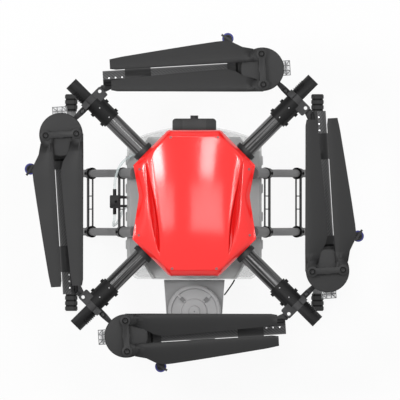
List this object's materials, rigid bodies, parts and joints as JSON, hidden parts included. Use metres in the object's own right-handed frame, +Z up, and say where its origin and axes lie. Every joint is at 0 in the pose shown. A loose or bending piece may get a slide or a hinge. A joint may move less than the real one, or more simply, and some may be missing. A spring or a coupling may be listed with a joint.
{
  "type": "agricultural spray drone",
  "caption": "Folding multirotor crop sprayer with pinwheel arms, folding propellers, a translucent tank with rear filler lid, spray nozzles and tubular skid landing gear.",
  "frame": {"origin": "on the ground, under the centre of the body", "axes": "+Z up, +Y towards the camera at the front, +X to the right seen from behind"},
  "size_m": [0.7738, 0.7738, 0.4526],
  "materials": {
    "hood_red": "glossy moulded red",
    "deck_carbon": "carbon plate",
    "tray_grey": "grey moulded tray",
    "joint_black": "black glass-filled nylon",
    "tube_carbon": "clear-coated carbon weave",
    "steel": "plain steel",
    "tank_milky": "translucent milky tank plastic",
    "lid_grey": "moulded grey lid",
    "leg_grey": "grey satin tube",
    "rubber_black": "ribbed rubber",
    "camera_black": "fine black plastic",
    "battery_black": "battery case",
    "hose_clear": "clear hose",
    "cable_black": "cable sheath",
    "seat_grey": "dark moulded seat",
    "lamp_clear": "clear lamp cover",
    "nozzle_blue": "blue cap on a black valve",
    "motor_grey": "dark anodised bell",
    "hub_grey": "dark clamp plates",
    "blade_black": "satin carbon-filled blade",
    "lever_grey": "dark moulded lever"
  },
  "bodies": {
    "body": {"hood": "hood_red", "upper_deck": "deck_carbon", "lower_deck": "tray_grey", "frame_sockets": "joint_black", "inner_tubes": "tube_carbon", "fold_sleeves": "joint_black", "hinge_pins": "steel", "tank": "tank_milky", "legs": "leg_grey", "leg_braces": "joint_black", "skids": "leg_grey", "skid_caps": "rubber_black", "front_camera": "camera_black", "battery": "battery_black", "flight_controller": "camera_black", "pump": "camera_black", "flow_meter": "camera_black", "spray_hose": "hose_clear", "level_cable": "cable_black"},
    "tank_lid": {"tank_lid": "lid_grey"},
    "arm_front_left": {"outer_tube_front_left": "tube_carbon", "outer_knuckle_front_left": "joint_black", "motor_seat_front_left": "seat_grey", "lamp_front_left": "lamp_clear", "nozzle_front_left": "nozzle_blue"},
    "rotor_front_left": {"motor_bell_front_left": "motor_grey", "prop_hub_front_left": "hub_grey"},
    "blade_outer_front_left": {"blade_outer_front_left": "blade_black"},
    "blade_inner_front_left": {"blade_inner_front_left": "blade_black"},
    "lock_lever_front_left": {"lock_lever_front_left": "lever_grey"},
    "arm_rear_left": {"outer_tube_rear_left": "tube_carbon", "outer_knuckle_rear_left": "joint_black", "motor_seat_rear_left": "seat_grey", "lamp_rear_left": "lamp_clear", "nozzle_rear_left": "nozzle_blue"},
    "rotor_rear_left": {"motor_bell_rear_left": "motor_grey", "prop_hub_rear_left": "hub_grey"},
    "blade_outer_rear_left": {"blade_outer_rear_left": "blade_black"},
    "blade_inner_rear_left": {"blade_inner_rear_left": "blade_black"},
    "lock_lever_rear_left": {"lock_lever_rear_left": "lever_grey"},
    "arm_rear_right": {"outer_tube_rear_right": "tube_carbon", "outer_knuckle_rear_right": "joint_black", "motor_seat_rear_right": "seat_grey", "lamp_rear_right": "lamp_clear", "nozzle_rear_right": "nozzle_blue"},
    "rotor_rear_right": {"motor_bell_rear_right": "motor_grey", "prop_hub_rear_right": "hub_grey"},
    "blade_outer_rear_right": {"blade_outer_rear_right": "blade_black"},
    "blade_inner_rear_right": {"blade_inner_rear_right": "blade_black"},
    "lock_lever_rear_right": {"lock_lever_rear_right": "lever_grey"},
    "arm_front_right": {"outer_tube_front_right": "tube_carbon", "outer_knuckle_front_right": "joint_black", "motor_seat_front_right": "seat_grey", "lamp_front_right": "lamp_clear", "nozzle_front_right": "nozzle_blue"},
    "rotor_front_right": {"motor_bell_front_right": "motor_grey", "prop_hub_front_right": "hub_grey"},
    "blade_outer_front_right": {"blade_outer_front_right": "blade_black"},
    "blade_inner_front_right": {"blade_inner_front_right": "blade_black"},
    "lock_lever_front_right": {"lock_lever_front_right": "lever_grey"}
  },
  "joints": [
    {"name": "tank_lid_lift", "type": "slide", "parent": "body", "child": "tank_lid", "axis": [0, 0, 1], "range_m": [0, 0.035]},
    {"name": "arm_fold_front_left", "type": "hinge", "parent": "body", "child": "arm_front_left", "pos_m": [-0.21567, 0.25385, 0.357], "axis": [0, 0, 1], "range_deg": [0, 131.5]},
    {"name": "rotor_spin_front_left", "type": "hinge", "parent": "arm_front_left", "child": "rotor_front_left", "pos_m": [0.15499, 0.30357, 0.357], "axis": [0, 0, 1], "continuous": true},
    {"name": "blade_outer_fold_front_left", "type": "hinge", "parent": "rotor_front_left", "child": "blade_outer_front_left", "pos_m": [0.15285, 0.33851, 0.4428], "axis": [0, 0, -1], "range_deg": [0, 180]},
    {"name": "blade_inner_fold_front_left", "type": "hinge", "parent": "rotor_front_left", "child": "blade_inner_front_left", "pos_m": [0.15712, 0.26864, 0.4428], "axis": [0, 0, 1], "range_deg": [0, 180]},
    {"name": "lock_lever_turn_front_left", "type": "hinge", "parent": "body", "child": "lock_lever_front_left", "pos_m": [-0.25527, 0.2086, 0.357], "axis": [0, 0, -1], "range_deg": [0, 90]},
    {"name": "arm_fold_rear_left", "type": "hinge", "parent": "body", "child": "arm_rear_left", "pos_m": [-0.25385, -0.21567, 0.342], "axis": [0, 0, 1], "range_deg": [0, 131.5]},
    {"name": "rotor_spin_rear_left", "type": "hinge", "parent": "arm_rear_left", "child": "rotor_rear_left", "pos_m": [-0.30357, 0.15499, 0.342], "axis": [0, 0, 1], "continuous": true},
    {"name": "blade_outer_fold_rear_left", "type": "hinge", "parent": "rotor_rear_left", "child": "blade_outer_rear_left", "pos_m": [-0.33851, 0.15285, 0.4278], "axis": [0, 0, -1], "range_deg": [0, 180]},
    {"name": "blade_inner_fold_rear_left", "type": "hinge", "parent": "rotor_rear_left", "child": "blade_inner_rear_left", "pos_m": [-0.26864, 0.15712, 0.4278], "axis": [0, 0, 1], "range_deg": [0, 180]},
    {"name": "lock_lever_turn_rear_left", "type": "hinge", "parent": "body", "child": "lock_lever_rear_left", "pos_m": [-0.2086, -0.25527, 0.342], "axis": [0, 0, -1], "range_deg": [0, 90]},
    {"name": "arm_fold_rear_right", "type": "hinge", "parent": "body", "child": "arm_rear_right", "pos_m": [0.21567, -0.25385, 0.357], "axis": [0, 0, 1], "range_deg": [0, 131.5]},
    {"name": "rotor_spin_rear_right", "type": "hinge", "parent": "arm_rear_right", "child": "rotor_rear_right", "pos_m": [-0.15499, -0.30357, 0.357], "axis": [0, 0, 1], "continuous": true},
    {"name": "blade_outer_fold_rear_right", "type": "hinge", "parent": "rotor_rear_right", "child": "blade_outer_rear_right", "pos_m": [-0.15285, -0.33851, 0.4428], "axis": [0, 0, -1], "range_deg": [0, 180]},
    {"name": "blade_inner_fold_rear_right", "type": "hinge", "parent": "rotor_rear_right", "child": "blade_inner_rear_right", "pos_m": [-0.15712, -0.26864, 0.4428], "axis": [0, 0, 1], "range_deg": [0, 180]},
    {"name": "lock_lever_turn_rear_right", "type": "hinge", "parent": "body", "child": "lock_lever_rear_right", "pos_m": [0.25527, -0.2086, 0.357], "axis": [0, 0, -1], "range_deg": [0, 90]},
    {"name": "arm_fold_front_right", "type": "hinge", "parent": "body", "child": "arm_front_right", "pos_m": [0.25385, 0.21567, 0.342], "axis": [0, 0, 1], "range_deg": [0, 131.5]},
    {"name": "rotor_spin_front_right", "type": "hinge", "parent": "arm_front_right", "child": "rotor_front_right", "pos_m": [0.30357, -0.15499, 0.342], "axis": [0, 0, 1], "continuous": true},
    {"name": "blade_outer_fold_front_right", "type": "hinge", "parent": "rotor_front_right", "child": "blade_outer_front_right", "pos_m": [0.33851, -0.15285, 0.4278], "axis": [0, 0, -1], "range_deg": [0, 180]},
    {"name": "blade_inner_fold_front_right", "type": "hinge", "parent": "rotor_front_right", "child": "blade_inner_front_right", "pos_m": [0.26864, -0.15712, 0.4278], "axis": [0, 0, 1], "range_deg": [0, 180]},
    {"name": "lock_lever_turn_front_right", "type": "hinge", "parent": "body", "child": "lock_lever_front_right", "pos_m": [0.2086, 0.25527, 0.342], "axis": [0, 0, -1], "range_deg": [0, 90]}
  ]
}
